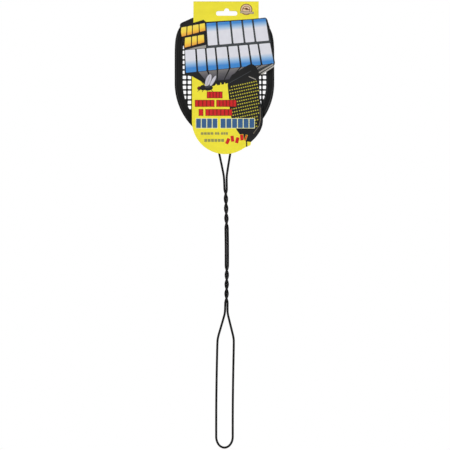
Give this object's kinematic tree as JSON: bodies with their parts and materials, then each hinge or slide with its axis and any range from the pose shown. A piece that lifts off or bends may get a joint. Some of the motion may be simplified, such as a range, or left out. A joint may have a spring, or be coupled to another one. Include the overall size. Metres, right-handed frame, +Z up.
{
  "type": "fly swatter",
  "caption": "Hand fly swatter: a flat perforated plastic head on a twisted wire handle with a hand loop, hanging in a folded, printed header card with a hang slot.",
  "frame": {"origin": "top of the round notch of the header card's hang slot, midway between the two leaves, where the peg bears", "axes": "+Z up along the handle towards the card's fold, -Y out of the printed front, +X to the right seen from the front"},
  "size_m": [0.1133, 0.006, 0.5055],
  "materials": {
    "head_plastic": "moulded black plastic with a soft sheen",
    "handle_wire": "black-coated steel wire, semi-gloss",
    "printed_card": "gloss-coated printed card, yellow ground"
  },
  "bodies": {
    "hang_card": {"header_card": "printed_card"},
    "swatter": {"paddle": "head_plastic", "wire_handle": "handle_wire"}
  },
  "joints": [
    {"name": "swatter_pulls_out", "type": "slide", "parent": "hang_card", "child": "swatter", "axis": [0, 0, -1], "range_m": [0, 0.16]}
  ]
}
